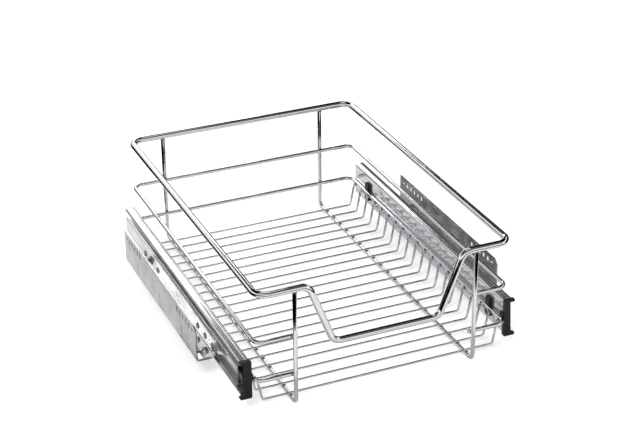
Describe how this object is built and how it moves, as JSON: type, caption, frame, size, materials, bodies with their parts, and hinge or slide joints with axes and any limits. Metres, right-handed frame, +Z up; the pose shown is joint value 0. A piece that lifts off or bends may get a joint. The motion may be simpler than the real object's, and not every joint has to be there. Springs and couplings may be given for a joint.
{
  "type": "pull out cabinet basket",
  "caption": "Chromed wire basket with a dipped front, carried by full extension ball slides on folded side brackets that screw to the inside walls of a cabinet.",
  "frame": {"origin": "under the middle of the basket, level with the underside of its lowest wires", "axes": "+X to the right seen from the front, +Y to the back of the cabinet, +Z up; the basket pulls out along -Y"},
  "size_m": [0.378, 0.438, 0.148],
  "materials": {
    "chrome_wire": "bright chrome plated wire",
    "zinc_steel": "cold rolled sheet steel, zinc plated",
    "cage_steel": "thin rolled sheet steel",
    "ball_steel": "polished steel",
    "bright_steel": "bright plated steel",
    "black_plastic": "matte moulded plastic"
  },
  "bodies": {
    "cabinet_side": {"cabinet_rail_left": "zinc_steel", "cabinet_rail_right": "zinc_steel", "rail_angle_left": "zinc_steel", "rail_angle_right": "zinc_steel", "wall_plate_left": "zinc_steel", "wall_plate_right": "zinc_steel", "rail_rivets_left": "bright_steel", "rail_rivets_right": "bright_steel", "plate_screws_left": "bright_steel", "plate_screws_right": "bright_steel", "plate_nuts_left": "bright_steel", "plate_nuts_right": "bright_steel"},
    "basket": {"rim_wire": "chrome_wire", "middle_wire": "chrome_wire", "lower_wire": "chrome_wire", "upright_wire_left": "chrome_wire", "upright_wire_right": "chrome_wire", "cross_wire_01": "chrome_wire", "cross_wire_02": "chrome_wire", "cross_wire_03": "chrome_wire", "cross_wire_04": "chrome_wire", "cross_wire_05": "chrome_wire", "cross_wire_06": "chrome_wire", "cross_wire_07": "chrome_wire", "cross_wire_08": "chrome_wire", "cross_wire_09": "chrome_wire", "cross_wire_10": "chrome_wire", "cross_wire_11": "chrome_wire", "cross_wire_12": "chrome_wire", "cross_wire_13": "chrome_wire", "cross_wire_14": "chrome_wire", "cross_wire_15": "chrome_wire", "cross_wire_16": "chrome_wire", "cross_wire_17": "chrome_wire", "cross_wire_18": "chrome_wire", "cross_wire_19": "chrome_wire", "cross_wire_20": "chrome_wire", "basket_rail_left": "zinc_steel", "basket_rail_right": "zinc_steel", "end_cap_left": "black_plastic", "end_cap_right": "black_plastic", "wire_clip_front_left": "black_plastic", "wire_clip_front_right": "black_plastic", "wire_clip_back_left": "black_plastic", "wire_clip_back_right": "black_plastic"},
    "middle_left": {"middle_rail_left": "zinc_steel"},
    "outer_cage_left": {"outer_ball_cage_left": "cage_steel", "outer_balls_left": "ball_steel"},
    "inner_cage_left": {"inner_ball_cage_left": "cage_steel", "inner_balls_left": "ball_steel"},
    "middle_right": {"middle_rail_right": "zinc_steel"},
    "outer_cage_right": {"outer_ball_cage_right": "cage_steel", "outer_balls_right": "ball_steel"},
    "inner_cage_right": {"inner_ball_cage_right": "cage_steel", "inner_balls_right": "ball_steel"}
  },
  "joints": [
    {"name": "basket_slide", "type": "slide", "parent": "cabinet_side", "child": "basket", "axis": [0, -1, 0], "range_m": [0, 0.39]},
    {"name": "middle_slide_left", "type": "slide", "parent": "cabinet_side", "child": "middle_left", "axis": [0, -1, 0], "range_m": [0, 0.195]},
    {"name": "outer_cage_slide_left", "type": "slide", "parent": "cabinet_side", "child": "outer_cage_left", "axis": [0, -1, 0], "range_m": [0, 0.2925]},
    {"name": "inner_cage_slide_left", "type": "slide", "parent": "cabinet_side", "child": "inner_cage_left", "axis": [0, -1, 0], "range_m": [0, 0.0975]},
    {"name": "middle_slide_right", "type": "slide", "parent": "cabinet_side", "child": "middle_right", "axis": [0, -1, 0], "range_m": [0, 0.195]},
    {"name": "outer_cage_slide_right", "type": "slide", "parent": "cabinet_side", "child": "outer_cage_right", "axis": [0, -1, 0], "range_m": [0, 0.2925]},
    {"name": "inner_cage_slide_right", "type": "slide", "parent": "cabinet_side", "child": "inner_cage_right", "axis": [0, -1, 0], "range_m": [0, 0.0975]}
  ],
  "couplings": [
    {"joint": "middle_slide_left", "follows": "basket_slide", "ratio": 0.5},
    {"joint": "outer_cage_slide_left", "follows": "basket_slide", "ratio": 0.75},
    {"joint": "inner_cage_slide_left", "follows": "basket_slide", "ratio": 0.25},
    {"joint": "middle_slide_right", "follows": "basket_slide", "ratio": 0.5},
    {"joint": "outer_cage_slide_right", "follows": "basket_slide", "ratio": 0.75},
    {"joint": "inner_cage_slide_right", "follows": "basket_slide", "ratio": 0.25}
  ]
}
